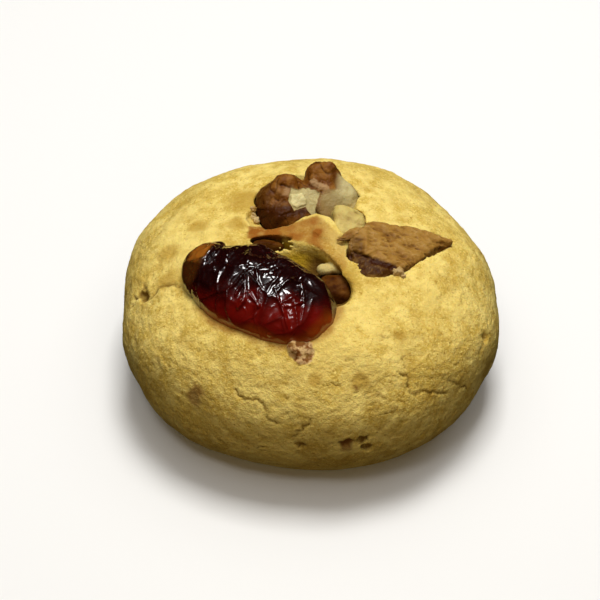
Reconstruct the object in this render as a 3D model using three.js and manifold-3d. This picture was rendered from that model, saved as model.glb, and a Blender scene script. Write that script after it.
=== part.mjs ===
// A small round cookie, domed by baking, with a dried cranberry and broken walnut kernels pressed into its top.
// Millimetres, +Z up, the cranberry toward -Y. The origin is on the table, under the middle of the outline.
import * as THREE from "three";
import { mergeVertices } from "three/addons/utils/BufferGeometryUtils.js";
import Module from "manifold-3d";

const wasm = await Module();
wasm.setup();

// Driving dimensions of the dough.
const COOKIE_RADIUS = 19;
const WAIST_HEIGHT = 7.4; // where the cookie is widest
const DOME_RISE = 10.3; // from the waist up to the crown, before the toppings are pressed in
const DOME_POWER = 2.42; // above 2 the dome is fuller than an ellipse
const FLANK_DROP = 11.7; // depth of the oval that the lower flank follows, cut off by the table
const FLANK_POWER = 2.1;
const FOOT_RADIUS = 14.7; // flat underside
const FOOT_EDGE = 0.3; // height of the soft edge round the underside
const SEGMENTS = 72;
const DOME_RINGS = 20;
const FLANK_RINGS = 7;

// The hand-rolled outline: how many lobes go round, their share of the radius, and where the first lobe lies.
const OUTLINE_WAVES = [
  { lobes: 2, share: 0.018, turn: -23 },
  { lobes: 3, share: 0.007, turn: -36 },
  { lobes: 4, share: 0.0115, turn: 50 },
  { lobes: 5, share: 0.0107, turn: -2 },
];
const SWELL = 0.1; // soft rises and dips of the baked crust
const SWELL_PITCH = 7.5;

// Room between neighbours that touch in the real cookie.
const GAP = 0.3;

// Neighbouring facets are joined where that moves the surface by less than this.
const FACET_ERROR = 0.065;

const DOUGH_FINISH = { color: 0xdcbd63, roughness: 0.85, metalness: 0 };
const FRUIT_FINISH = { color: 0x4a0d0a, roughness: 0.22, metalness: 0 };
const SKIN_FINISH = { color: 0x8a5a24, roughness: 0.6, metalness: 0 };
const FLESH_FINISH = { color: 0xcab36f, roughness: 0.6, metalness: 0 };

const DEGREE = Math.PI / 180;
const TURN = 2 * Math.PI;
const UP = new THREE.Vector3(0, 0, 1);

// Closed skins and solids

function closedSkin(geometry) {
  geometry.deleteAttribute("normal");
  geometry.deleteAttribute("uv");
  return mergeVertices(geometry, 1e-4);
}

function reshape(geometry, rule) {
  const position = geometry.attributes.position;
  const point = new THREE.Vector3();
  for (let i = 0; i < position.count; i++) {
    rule(point.fromBufferAttribute(position, i));
    position.setXYZ(i, point.x, point.y, point.z);
  }
  return geometry;
}

function matrixOf({ at, turn = [0, 0, 0] }) {
  const angles = new THREE.Euler(...turn.map((angle) => angle * DEGREE), "ZYX");
  const rotation = new THREE.Quaternion().setFromEuler(angles);
  return new THREE.Matrix4().compose(new THREE.Vector3(...at), rotation, new THREE.Vector3(1, 1, 1));
}

function solidOf(geometry, matrix = new THREE.Matrix4()) {
  const placed = geometry.clone().applyMatrix4(matrix);
  return new wasm.Manifold(
    new wasm.Mesh({
      numProp: 3,
      vertProperties: new Float32Array(placed.attributes.position.array),
      triVerts: new Uint32Array(placed.index.array),
    }),
  );
}

// The largest body of a solid: a cut can leave loose scraps beside it.
function mainBody(solid) {
  return solid.decompose().reduce((a, b) => (b.volume() > a.volume() ? b : a));
}

function meshOf(name, finish, solid) {
  const { vertProperties, triVerts } = mainBody(solid.simplify(FACET_ERROR)).getMesh();
  const geometry = new THREE.BufferGeometry();
  geometry.setAttribute("position", new THREE.BufferAttribute(vertProperties, 3));
  geometry.setIndex(new THREE.BufferAttribute(triVerts, 1));
  geometry.computeVertexNormals();
  const mesh = new THREE.Mesh(geometry, new THREE.MeshStandardMaterial(finish));
  mesh.name = name;
  return mesh;
}

// Round pieces, each given by how far it reaches from its middle in every direction

function lump(detail, reach, grown = 0) {
  const ball = closedSkin(new THREE.IcosahedronGeometry(1, detail));
  return reshape(ball, (point) => {
    const direction = point.clone().normalize();
    point.copy(direction).multiplyScalar(reach(direction) + grown);
  });
}

// Distance along a direction to the far skin of an ellipsoid, or nought where the direction misses it.
function ellipsoidReach(direction, { at = [0, 0, 0], half }) {
  const size = new THREE.Vector3(...half);
  const step = direction.clone().divide(size);
  const start = new THREE.Vector3(...at).negate().divide(size);
  const a = step.lengthSq();
  const b = step.dot(start);
  const hit = b * b - a * (start.lengthSq() - 1);
  return hit < 0 ? 0 : Math.max(0, (Math.sqrt(hit) - b) / a);
}

// Lobes melt into one another: a higher power leaves a sharper crease between them.
function lobedReach(direction, lobes, power = 10) {
  const sum = lobes.reduce((total, lobe) => total + ellipsoidReach(direction, lobe) ** power, 0);
  return sum ** (1 / power);
}

function bearing(azimuth, elevation) {
  const flat = Math.cos(elevation * DEGREE);
  return new THREE.Vector3(
    flat * Math.cos(azimuth * DEGREE),
    flat * Math.sin(azimuth * DEGREE),
    Math.sin(elevation * DEGREE),
  );
}

// A broken piece: flat facets that meet in edges, which a lower power rounds.
function facetReach(direction, facets, power = 14) {
  const sum = facets.reduce((total, { azimuth, elevation, distance }) => {
    const facing = Math.max(0, bearing(azimuth, elevation).dot(direction));
    return total + (facing / distance) ** power;
  }, 0);
  return sum ** (-1 / power);
}

// Meandering folds of walnut skin or of shrunken fruit: creases where slow waves cancel out.
function folds({ x, y, z }, pitch, seed) {
  const slow = Math.sin(pitch * (x + 0.6 * z) + seed) + Math.sin(pitch * (y - 0.5 * x) + 2 * seed);
  const fast = Math.sin(1.7 * pitch * (z - 0.4 * y) + 3 * seed);
  return 1 - Math.abs(0.6 * slow + 0.5 * fast);
}

// A strand along a route: a ball whose poles lie at the ends of the route, with blunt ends.
function strand({ route, halfWidth, halfDepth, outward, along, around }) {
  const curve = new THREE.CatmullRomCurve3(route);
  const ball = closedSkin(new THREE.SphereGeometry(1, around, along));
  return reshape(ball, (point) => {
    const share = Math.acos(THREE.MathUtils.clamp(point.y, -1, 1)) / Math.PI;
    const fullness = Math.sqrt(Math.hypot(point.x, point.z));
    const angle = Math.atan2(point.z, point.x);
    const middle = curve.getPointAt(share);
    const out = outward(middle);
    const side = new THREE.Vector3().crossVectors(out, curve.getTangentAt(share)).normalize();
    point.copy(middle);
    point.addScaledVector(side, halfWidth(share) * fullness * Math.cos(angle));
    point.addScaledVector(out, halfDepth(share) * fullness * Math.sin(angle));
  });
}

// Dough: a turned profile, bent to the hand-rolled outline

// Radius and height on the dome, by the climb from the waist at 0 to the crown at a quarter turn.
function domePoint(climb) {
  const radius = COOKIE_RADIUS * Math.cos(climb) ** (2 / DOME_POWER);
  return new THREE.Vector2(radius, WAIST_HEIGHT + DOME_RISE * Math.sin(climb) ** (2 / DOME_POWER));
}

function flankRadius(height) {
  const below = (WAIST_HEIGHT - height) / FLANK_DROP;
  return COOKIE_RADIUS * (1 - below ** FLANK_POWER) ** (1 / FLANK_POWER);
}

function doughProfile() {
  const points = [0, 0.4, 0.75, 1].map((share) => new THREE.Vector2(share * FOOT_RADIUS, 0));
  for (let ring = 0; ring < FLANK_RINGS; ring++) {
    const height = FOOT_EDGE + (ring / FLANK_RINGS) * (WAIST_HEIGHT - FOOT_EDGE);
    points.push(new THREE.Vector2(flankRadius(height), height));
  }
  for (let ring = 0; ring < DOME_RINGS; ring++) points.push(domePoint((ring / DOME_RINGS) * (Math.PI / 2)));
  points.push(new THREE.Vector2(0, WAIST_HEIGHT + DOME_RISE));
  return points;
}

function outlineShare(azimuth) {
  return OUTLINE_WAVES.reduce(
    (share, wave) => share + wave.share * Math.cos(wave.lobes * (azimuth - wave.turn * DEGREE)),
    1,
  );
}

function swell({ x, y, z }) {
  const step = TURN / SWELL_PITCH;
  return Math.sin(step * (x + 0.3 * z)) * Math.sin(step * (0.9 * y - 0.2 * x)) + Math.sin(step * 0.6 * (z + y));
}

function crustNormal({ x, y, z }) {
  const climb = z - WAIST_HEIGHT;
  const [depth, power] = climb > 0 ? [DOME_RISE, DOME_POWER] : [FLANK_DROP, FLANK_POWER];
  const outward = (Math.hypot(x, y) / COOKIE_RADIUS) ** (power - 1) / COOKIE_RADIUS;
  const normal = new THREE.Vector3(x, y, 0).setLength(outward);
  normal.z = (Math.sign(climb) * (Math.abs(climb) / depth) ** (power - 1)) / depth;
  return normal.normalize();
}

function rolledDough() {
  const turned = new THREE.LatheGeometry(doughProfile(), SEGMENTS).rotateX(Math.PI / 2);
  return reshape(closedSkin(turned), (point) => {
    const share = outlineShare(Math.atan2(point.y, point.x));
    const rise = SWELL * THREE.MathUtils.smoothstep(point.z, 1, 4) * swell(point);
    const out = crustNormal(point);
    point.set(share * point.x, share * point.y, point.z).addScaledVector(out, rise);
  });
}

// A place on the crust: the azimuth round the cookie, and the climb from the waist to the crown, in degrees.
function crustPoint(azimuth, climb) {
  const around = azimuth * DEGREE;
  const low = WAIST_HEIGHT + FLANK_DROP * Math.sin(climb * DEGREE);
  const place = climb > 0 ? domePoint(climb * DEGREE) : new THREE.Vector2(flankRadius(low), low);
  const radius = outlineShare(around) * place.x;
  return new THREE.Vector3(radius * Math.cos(around), radius * Math.sin(around), place.y);
}

// Wells that the toppings press into the dough, and the fold of dough left standing between them
const WELLS = [
  { at: [-0.4, -4.2, 17.3], turn: [0, 25, -35], half: [4.6, 2.8, 2.6] },
  { at: [-3.5, -0.4, 16.6], half: [2.8, 0.95, 1.5] },
  { at: [-4.2, -2.6, 19.5], half: [3.2, 3.0, 2.7] },
  { at: [2.8, -7.0, 17.3], half: [1.5, 1.8, 1.9] },
  { at: [-0.2, 6.1, 18.0], half: [5.5, 4.9, 3.3] },
  { at: [-3.9, 3.3, 17.4], half: [2.4, 2.0, 1.7] },
];
const WELL_DETAIL = 4;

const FOLD_ROUTE = [
  [-6.2, 1.3, 16.75],
  [-4.4, 1.2, 16.95],
  [-2.2, 1.1, 17.15],
  [-0.4, 1.4, 17.5],
  [0.7, 1.6, 17.9],
  [2.0, 0.3, 17.8],
  [3.2, -1.5, 17.4],
  [4.2, -3.4, 17.0],
  [4.6, -5.2, 16.3],
];
const FOLD_THIN = 0.5; // the toasted lip, half its width
const FOLD_WIDE = 1.5; // the shoulder, half its width
const FOLD_SHOULDER = 0.48; // where along the fold the shoulder lies
const FOLD_SPREAD = 0.2; // share of the fold over which the shoulder narrows
const FOLD_HALF_DEPTH = 0.7;

function foldSolid() {
  const width = (share) => {
    const nearness = Math.exp(-(((share - FOLD_SHOULDER) / FOLD_SPREAD) ** 2));
    return FOLD_THIN + (FOLD_WIDE - FOLD_THIN) * nearness;
  };
  return solidOf(
    strand({
      route: FOLD_ROUTE.map((place) => new THREE.Vector3(...place)),
      halfWidth: width,
      halfDepth: () => FOLD_HALF_DEPTH,
      outward: () => UP,
      along: 22,
      around: 10,
    }),
  );
}

// Cracks that opened as the crust set: places along each one, as azimuth round the cookie and climb up its crust.
const CRACKS = [
  { halfWidth: 0.3, places: [[-169, 25], [-165, 32], [-163, 39], [-161, 46], [-158, 49]] },
  { halfWidth: 0.2, places: [[-114, 26], [-109, 23], [-104, 22], [-102, 16], [-99, 12]] },
  { halfWidth: 0.2, places: [[-59, 31], [-57, 25], [-57, 18], [-51, 15], [-46, 10]] },
  { halfWidth: 0.18, places: [[-44, 15], [-42, 12], [-38, 4]] },
  { halfWidth: 0.15, places: [[-90, 16], [-92, 10], [-94, 5]] },
  { halfWidth: 0.15, places: [[-77, 27], [-74, 28], [-70, 26]] },
  { halfWidth: 0.18, places: [[24, 30], [30, 27], [34, 21]] },
  { halfWidth: 0.2, places: [[68, 14], [75, 17], [82, 13], [87, 15]] },
  { halfWidth: 0.16, places: [[131, 22], [128, 14], [124, 11]] },
];
const CRACK_HALF_DEPTH = 0.5;
const CRACK_TAPER = 0.6; // share of its width that a crack loses toward its end

// Small holes where a crumb has come away: place on the crust and radius.
const PITS = [
  { azimuth: -75, climb: 2, radius: 0.5 },
  { azimuth: -73, climb: -1, radius: 0.45 },
  { azimuth: -93, climb: 1, radius: 0.35 },
  { azimuth: -166, climb: 31, radius: 0.7 },
  { azimuth: -109, climb: 43, radius: 0.3 },
  { azimuth: -24, climb: 17, radius: 0.5 },
  { azimuth: 104, climb: -8, radius: 0.45 },
];
const PIT_DETAIL = 1;

function crackSolid({ halfWidth, places }) {
  return solidOf(
    strand({
      route: places.map(([azimuth, climb]) => crustPoint(azimuth, climb)),
      halfWidth: (share) => halfWidth * (1 - CRACK_TAPER * share),
      halfDepth: () => CRACK_HALF_DEPTH,
      outward: crustNormal,
      along: 8,
      around: 4,
    }),
  );
}

function pitSolid({ azimuth, climb, radius }) {
  const ball = lump(PIT_DETAIL, () => radius);
  return solidOf(ball, matrixOf({ at: crustPoint(azimuth, climb).toArray() }));
}

// Small chips of kernel baked onto the dough: one on the crust in front of the fruit, one inside the hollow.
const CHIPS = [
  { at: crustPoint(-93, 48).toArray(), turn: [26, 8, 20], half: [1.15, 1.3, 0.42] },
  { at: [2.2, -3.3, 16.3], turn: [0, -6, 6], half: [1.5, 0.6, 0.5] },
];
const CHIP_DETAIL = 2;

function chipSolid(chip) {
  const flake = lump(CHIP_DETAIL, (direction) => ellipsoidReach(direction, { half: chip.half }));
  return solidOf(flake, matrixOf(chip));
}

// Toppings. Each has a middle, a turn about X, Y and Z in degrees, and a reach.

// The cut end of the fruit is an ear of dried flesh that stands up at its left.
const EAR = {
  detail: 4,
  at: [-7.5, 0.2, 0.4],
  turn: [0, 14, 8],
  half: [0.9, 3.0, 2.2],
  cup: 0.15, // how far the ear curls round the end of the fruit, for each square millimetre
};

const CRANBERRY = {
  name: "cranberry",
  finish: FRUIT_FINISH,
  detail: 7,
  at: [-4.3, -7.1, 15.9],
  turn: [10, 4, -28],
  halfLength: 7.0,
  halfWidth: 4.0,
  rise: 3.45,
  sunk: 1.9,
  bluntness: 2.3,
  wrinkle: 0.2,
  reach(direction) {
    const depth = direction.z > 0 ? this.rise : this.sunk;
    const power = this.bluntness;
    const along = Math.abs(direction.x / this.halfLength) ** power;
    const across = Math.abs(direction.y / this.halfWidth) ** power;
    const upright = Math.abs(direction.z / depth) ** power;
    return (along + across + upright) ** (-1 / power) + this.wrinkle * folds(direction, 5.5, 1.3);
  },
};

const WALNUT_LOBED = {
  name: "walnut_lobed",
  finish: SKIN_FINISH,
  detail: 8,
  at: [0.5, 6.2, 16.3],
  lobes: [
    { at: [-2.8, -0.6, -0.4], half: [3.0, 2.9, 2.7] },
    { at: [-2.6, 0.6, 1.3], half: [1.7, 1.8, 1.7] },
    { at: [-1.6, -1.2, -0.4], half: [2.1, 2.1, 2.0] },
    { at: [0.9, 2.0, 1.6], half: [1.7, 1.8, 1.8] },
    { at: [2.1, -0.1, 0.1], half: [2.25, 2.6, 2.5] },
    { at: [0.3, 0.6, 0.9], half: [1.8, 1.7, 1.4] },
  ],
  brokenFaces: [
    { azimuth: -68, elevation: 56, distance: 1.75 },
    { azimuth: -50, elevation: 26, distance: 2.6 },
  ],
  fold: 0.2,
  reach(direction) {
    const grown = lobedReach(direction, this.lobes) + this.fold * folds(direction, 6.2, 0.4);
    return Math.min(grown, facetReach(direction, this.brokenFaces));
  },
};

const WALNUT_WEDGE = {
  name: "walnut_wedge",
  finish: SKIN_FINISH,
  detail: 7,
  at: [8.0, -0.9, 16.3],
  facets: [
    { azimuth: -8, elevation: 73, distance: 1.15 },
    { azimuth: -93, elevation: 45, distance: 2.6 },
    { azimuth: -90, elevation: 5, distance: 3.2 },
    { azimuth: -46, elevation: 8, distance: 2.75 },
    { azimuth: 92, elevation: 10, distance: 2.75 },
    { azimuth: 148, elevation: 8, distance: 3.2 },
    { azimuth: 180, elevation: 5, distance: 4.15 },
    { azimuth: 0, elevation: -86, distance: 1.6 },
  ],
  fold: 0.12,
  reach(direction) {
    return facetReach(direction, this.facets, 20) + this.fold * folds(direction, 7.0, 2.1);
  },
};

// A splinter stands out from the upper left edge of the wedge.
const SPLINTER = { at: [-4.0, 0.4, 1.75], turn: [8, -6, 30], half: [1.5, 0.5, 0.3], detail: 3 };

const KERNEL_PALE = {
  name: "kernel_pale",
  finish: FLESH_FINISH,
  detail: 4,
  at: [3.9, 2.1, 16.6],
  facets: [
    { azimuth: -80, elevation: 70, distance: 1.15 },
    { azimuth: 0, elevation: 12, distance: 1.6 },
    { azimuth: 180, elevation: 12, distance: 1.5 },
    { azimuth: 90, elevation: 22, distance: 2.2 },
    { azimuth: 40, elevation: 48, distance: 1.7 },
    { azimuth: -110, elevation: 10, distance: 2.7 },
    { azimuth: -45, elevation: 5, distance: 2.1 },
    { azimuth: 0, elevation: -90, distance: 1.6 },
  ],
  reach(direction) {
    return facetReach(direction, this.facets, 13);
  },
};

const KERNEL_SUNK = {
  name: "kernel_sunk",
  finish: SKIN_FINISH,
  detail: 4,
  at: [2.7, -5.1, 15.1],
  facets: [
    { azimuth: -95, elevation: 14, distance: 1.75 },
    { azimuth: 90, elevation: 40, distance: 1.55 },
    { azimuth: 0, elevation: 12, distance: 1.55 },
    { azimuth: 165, elevation: 25, distance: 1.9 },
    { azimuth: -90, elevation: 72, distance: 1.5 },
    { azimuth: 0, elevation: -90, distance: 1.5 },
  ],
  reach(direction) {
    return facetReach(direction, this.facets, 7);
  },
};

const WALNUT_SLIVER = {
  name: "walnut_sliver",
  finish: SKIN_FINISH,
  detail: 3,
  at: [-4.0, -0.25, 16.5],
  turn: [20, 4, -4],
  half: [1.75, 0.65, 0.75],
  reach(direction) {
    return ellipsoidReach(direction, { half: this.half });
  },
};

function earSolid(grown) {
  const { detail, half, cup } = EAR;
  const ear = lump(detail, (direction) => ellipsoidReach(direction, { half }), grown);
  reshape(ear, (point) => {
    point.x += cup * (point.y ** 2 + point.z ** 2);
  });
  return solidOf(ear, matrixOf(CRANBERRY).multiply(matrixOf(EAR)));
}

// A small ellipsoid in the frame of the piece that it is added to.
function detailSolid(piece, shape, grown) {
  const ball = lump(shape.detail, (direction) => ellipsoidReach(direction, { half: shape.half }), grown);
  return solidOf(ball, matrixOf(piece).multiply(matrixOf(shape)));
}

function toppingSolid(piece, grown = 0) {
  const body = lump(piece.detail, (direction) => piece.reach(direction), grown);
  const solid = solidOf(body, matrixOf(piece));
  if (piece === CRANBERRY) return solid.add(earSolid(grown));
  if (piece !== WALNUT_WEDGE) return solid;
  return solid.add(detailSolid(piece, SPLINTER, grown));
}

// Each topping keeps clear of those named before it, and the dough keeps clear of them all.
const TOPPINGS = [CRANBERRY, WALNUT_LOBED, WALNUT_WEDGE, KERNEL_PALE, KERNEL_SUNK, WALNUT_SLIVER];

function without(solid, cuts) {
  return cuts.reduce((rest, cut) => rest.subtract(cut), solid);
}

const cookie = new THREE.Group();
const rooms = [];
for (const piece of TOPPINGS) {
  cookie.add(meshOf(piece.name, piece.finish, without(toppingSolid(piece), rooms)));
  rooms.push(toppingSolid(piece, GAP));
}

const openings = [...CRACKS.map(crackSolid), ...PITS.map(pitSolid)];
const pressed = without(solidOf(rolledDough()), WELLS.map((well) => {
  const bowl = lump(WELL_DETAIL, (direction) => ellipsoidReach(direction, { half: well.half }));
  return solidOf(bowl, matrixOf(well));
}));
const cracked = without(pressed.add(foldSolid()), openings);
const risen = CHIPS.reduce((whole, chip) => whole.add(chipSolid(chip)), cracked);
cookie.add(meshOf("dough", DOUGH_FINISH, without(risen, rooms)));

// Centre the cookie on its outline and stand it on the table.
const box = new THREE.Box3().setFromObject(cookie);
const middle = box.getCenter(new THREE.Vector3());
for (const mesh of cookie.children) mesh.position.set(-middle.x, -middle.y, -box.min.z);

export default cookie;
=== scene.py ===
"""Looks of a small round cookie with a dried cranberry and walnut kernels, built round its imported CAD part.

Each piece starts from a copy of its CAD node and gets the crumb, cracks, wrinkles and colours that the solids
leave out. Metres, in the frame of the part: +Z up, the cranberry toward -Y. Listed places are in millimetres.
"""
import itertools
import math

import bpy
import numpy as np
from mathutils import Euler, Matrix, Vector
from mathutils.bvhtree import BVHTree
from mathutils.kdtree import KDTree


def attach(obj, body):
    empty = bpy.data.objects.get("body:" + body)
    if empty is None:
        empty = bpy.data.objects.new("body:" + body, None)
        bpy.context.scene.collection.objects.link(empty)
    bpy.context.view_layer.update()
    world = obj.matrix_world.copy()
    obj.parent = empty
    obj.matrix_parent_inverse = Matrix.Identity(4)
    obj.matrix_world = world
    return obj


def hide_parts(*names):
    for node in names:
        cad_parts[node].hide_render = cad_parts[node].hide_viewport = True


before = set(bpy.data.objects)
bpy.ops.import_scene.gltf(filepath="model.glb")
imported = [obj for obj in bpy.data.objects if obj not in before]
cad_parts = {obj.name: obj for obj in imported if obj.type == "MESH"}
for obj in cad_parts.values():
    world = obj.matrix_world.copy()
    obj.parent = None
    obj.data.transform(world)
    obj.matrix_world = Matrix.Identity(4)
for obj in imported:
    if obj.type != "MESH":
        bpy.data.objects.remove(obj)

bl_info = {
    "name": "Cranberry cookie",
    "version": (1, 0, 0),
    "blender": (4, 5, 0),
    "location": "View3D > Sidebar > Cookie",
    "description": "Builds the looks of a small cookie with a dried cranberry and walnut kernels",
    "category": "Object",
}

MM = 0.001

# The CAD source measures from the axis of the dough; the part is centred on its outline, this far away.
AXIS = np.array([-0.160, -0.101, 0.0])


def linear(code):
    """Linear light values of an sRGB colour written as six hex digits."""
    shares = [int(code[i:i + 2], 16) / 255 for i in (0, 2, 4)]
    return tuple(s / 12.92 if s <= 0.04045 else ((s + 0.055) / 1.055) ** 2.4 for s in shares)


def colour(name, code, description):
    return bpy.props.FloatVectorProperty(
        name=name, description=description, subtype="COLOR", size=3, min=0, max=1, default=linear(code))


def length(name, millimetres, description):
    return bpy.props.FloatProperty(
        name=name, description=description, unit="LENGTH", default=millimetres * MM, precision=5)


# Settings

class DoughSettings(bpy.types.PropertyGroup):
    """Sizes and colours of the baked dough."""
    voxel: length("Detail", 0.19, "Size of the smallest crumb that is modelled")
    lump_depth: length("Lump depth", 0.05, "Height of the soft lumps of the crust")
    grain_depth: length("Grain depth", 0.028, "Height of the crinkled grain")
    flake_depth: length("Flake depth", 0.03, "Height of the edges of thin flakes")
    pore_depth: length("Pore depth", 0.09, "Depth of the small pores")
    pale: colour("Pale", "f2d778", "Dry crust that catches the light")
    golden: colour("Golden", "d2b04d", "Baked crust between the pale grains")
    # Crust that browned a little more, and painted shade in the well left of the lobed walnut and round the
    # sunk kernel.
    stain: colour("Stain", "b48c2e", "Patches that browned a little more")
    toasted: colour("Toasted", "96580f", "Thin lip that browned in the oven")
    # Tint inside cracks, and painted shade in pits and hollows.
    crevice: colour("Crevice", "8a6a22", "Crumb inside cracks and pits")
    # Painted shade: yellow green in the wells, and dark brown deep in the hollow, the slot and holes.
    moist: colour("Moist", "b9941a", "Yellow green crumb inside the wells")
    deep: colour("Deep", "5c3a05", "Damp brown crumb at the bottom of the hollow")
    # Partly juice stain, partly painted shade along the fruit's front edge.
    amber: colour("Amber", "995f17", "Dough stained by fruit juice")
    fragment: colour("Fragment", "7d4a18", "Ground nut that shows in the crust")
    chip: colour("Chip", "d8b27a", "Pinkish chip of kernel in front of the fruit")
    tooth: colour("Tooth", "cbb570", "Pale chip of kernel in the hollow")


class FruitSettings(bpy.types.PropertyGroup):
    """Sizes and colours of the dried cranberry."""
    voxel: length("Detail", 0.075, "Size of the smallest wrinkle that is modelled")
    swell: length("Swell", 0.12, "Growth that brings the fruit against the dough")
    seat: length("Seat", 0.38, "Further growth where the fruit sits in the dough")
    fold_depth: length("Fold depth", 0.2, "Height of the soft folds")
    ridge_height: length("Ridge height", 0.3, "Height of the thin ridges that catch the light")
    wrinkle_height: length("Wrinkle height", 0.06, "Height of the net of small wrinkles")
    skin: colour("Skin", "1c0403", "Nearly black maroon of the thick skin")
    # Flesh and edge are a painted glow of light coming through the fruit.
    flesh: colour("Flesh", "700d05", "Red where light comes through")
    edge: colour("Edge", "a04a10", "Amber of the thin rim")
    ear: colour("Ear", "a5611c", "Brown dried flesh of the cut end")


class NutSettings(bpy.types.PropertyGroup):
    """Sizes and colours of the walnut pieces."""
    voxel: length("Detail", 0.08, "Size of the smallest crease that is modelled")
    swell: length("Swell", 0.2, "Growth that brings a kernel against the dough")
    knob_depth: length("Knob depth", 0.15, "Height of the knobs of a lobe")
    crease_depth: length("Crease depth", 0.12, "Depth of the creases in the skin")
    peel: length("Peel", 0.1, "Thickness of the skin round a broken patch")
    skin: colour("Skin", "70400f", "Brown skin of the kernel")
    light: colour("Light", "8e5d22", "Raised skin")
    # Lighter on the ridges of the wedge, partly as a painted highlight.
    dry: colour("Dry", "a67d38", "Tan skin of the wedge")
    # Darker skin in creases, and painted shade on the belly, on the small kernels and where a kernel turns
    # away.
    dark: colour("Dark", "3a1803", "Skin in creases and on toasted edges")
    # Also a painted highlight along the fine ridges of the wedge.
    blush: colour("Blush", "b08c60", "Pinkish torn skin")
    flesh: colour("Flesh", "e6d89a", "Broken kernel")
    kernel: colour("Kernel", "ccb668", "Yellowish flesh of the pale kernel")
    # On the side of the lobed piece this grey stands for pale flesh in painted shade.
    waxy: colour("Waxy", "94804f", "Grey flesh under thin skin")


class StageSettings(bpy.types.PropertyGroup):
    """Floor and light."""
    floor: colour("Floor", "f2f1ee", "Plain pale floor")
    fill: bpy.props.FloatProperty(name="Fill", description="Strength of the even light", default=0.03)


# Meshes

def take(piece):
    bpy.ops.object.select_all(action="DESELECT")
    piece.select_set(True)
    bpy.context.view_layer.objects.active = piece


def shape_with(piece, kind, **settings):
    """Adds one modifier to a piece, sets it and applies it."""
    take(piece)
    bpy.ops.object.modifier_add(type=kind)
    modifier = piece.modifiers[-1]
    for name, value in settings.items():
        setattr(modifier, name, value)
    bpy.ops.object.modifier_apply(modifier=modifier.name)


def copy_of(node, name, voxel, smoothing):
    """A copy of a CAD node with its split corners joined, remeshed evenly and smoothed."""
    piece = bpy.data.objects.new(name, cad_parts[node].data.copy())
    bpy.context.scene.collection.objects.link(piece)
    piece.data.materials.clear()
    take(piece)
    bpy.ops.object.mode_set(mode="EDIT")
    bpy.ops.mesh.select_all(action="SELECT")
    bpy.ops.mesh.remove_doubles(threshold=1e-6)
    bpy.ops.mesh.normals_make_consistent(inside=False)
    bpy.ops.object.mode_set(mode="OBJECT")
    shape_with(piece, "REMESH", mode="VOXEL", voxel_size=voxel)
    shape_with(piece, "SMOOTH", factor=0.5, iterations=smoothing)
    return piece


def thin_out(piece, below, ratio):
    """Joins faces below a height, where nobody looks closely."""
    low = np.flatnonzero(read(piece)[:, 2] < below)
    group = piece.vertex_groups.new(name="Underside")
    group.add(low.tolist(), 1.0, "REPLACE")
    shape_with(piece, "DECIMATE", ratio=ratio, vertex_group=group.name, vertex_group_factor=1000.0)
    piece.vertex_groups.clear()


def soften(piece, chosen, rounds):
    """Rounds off the chosen corners of a piece."""
    group = piece.vertex_groups.new(name="Soft")
    group.add(np.flatnonzero(chosen).tolist(), 1.0, "REPLACE")
    shape_with(piece, "SMOOTH", factor=0.5, iterations=rounds, vertex_group=group.name)
    piece.vertex_groups.clear()


def read(piece, field="co"):
    """Places or normals of the corners, one row for each."""
    values = np.empty(3 * len(piece.data.vertices))
    piece.data.vertices.foreach_get(field, values)
    return values.reshape(-1, 3)


def move(piece, points):
    """Puts every corner at its own new place."""
    piece.data.vertices.foreach_set("co", points.ravel())


def push(piece, distance):
    """Moves every corner along its normal."""
    move(piece, read(piece) + read(piece, "normal") * distance[:, None])
    piece.data.update()


def note(piece, **fields):
    """Keeps numbers for each corner, for the material to read."""
    for name, values in fields.items():
        attribute = piece.data.attributes.new(name, "FLOAT", "POINT")
        attribute.data.foreach_set("value", np.clip(values, 0, 1).astype(np.float32))


def hollowness(piece, rounds):
    """How far each corner lies below the smooth run of its surroundings."""
    ends = np.empty(2 * len(piece.data.edges), int)
    piece.data.edges.foreach_get("vertices", ends)
    a, b = ends.reshape(-1, 2).T
    start = read(piece)
    total = len(start)
    neighbours = np.bincount(a, minlength=total) + np.bincount(b, minlength=total)
    points = start
    for _ in range(rounds):
        points = np.stack([
            np.bincount(a, axis[b], total) + np.bincount(b, axis[a], total) for axis in points.T
        ], axis=1) / neighbours[:, None]
    return ((points - start) * read(piece, "normal")).sum(axis=1)


def finished(piece, material, slot, *nodes):
    """Shades a piece smooth and hands it over as the look of its CAD nodes."""
    take(piece)
    bpy.ops.object.shade_smooth()
    piece.data.materials.clear()
    piece.data.materials.append(material)
    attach(piece, "root")
    if nodes:
        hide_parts(*nodes)


# Noise

# Noise is read from a cube of random values that repeats, turned so that its rows follow no side of the part.
LATTICE = 48
GRAIN_TILT = np.array([[0.80, 0.36, 0.48], [-0.60, 0.48, 0.64], [0.0, -0.80, 0.60]])


def noise(points, millimetres, seed):
    """Smooth random values from -1 to 1 that change over about one size."""
    table = np.random.default_rng(seed).uniform(-1, 1, (LATTICE, LATTICE, LATTICE))
    cells = points @ GRAIN_TILT / (millimetres * MM)
    low = np.floor(cells).astype(int)
    part = cells - low
    part = part * part * (3 - 2 * part)
    total = np.zeros(len(points))
    for corner in itertools.product((0, 1), repeat=3):
        at = (low + corner) % LATTICE
        weight = np.where(corner, part, 1 - part).prod(axis=1)
        total += weight * table[at[:, 0], at[:, 1], at[:, 2]]
    return total


def bent(points, millimetres, reach, seed):
    """The points, each shifted a little by slow noise, so that what is drawn on them meanders."""
    shift = np.stack([noise(points, millimetres, seed + i) for i in range(3)], axis=1)
    return points + reach * MM * shift


def ridges(points, millimetres, seed):
    """Sharp crests from 0 to 1 with round valleys between them."""
    return 1 - np.abs(noise(points, millimetres, seed)) * 2


def creases(points, millimetres, seed, width):
    """Narrow grooves, 1 at their bottom."""
    return np.exp(-(noise(points, millimetres, seed) / width) ** 2)


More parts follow.
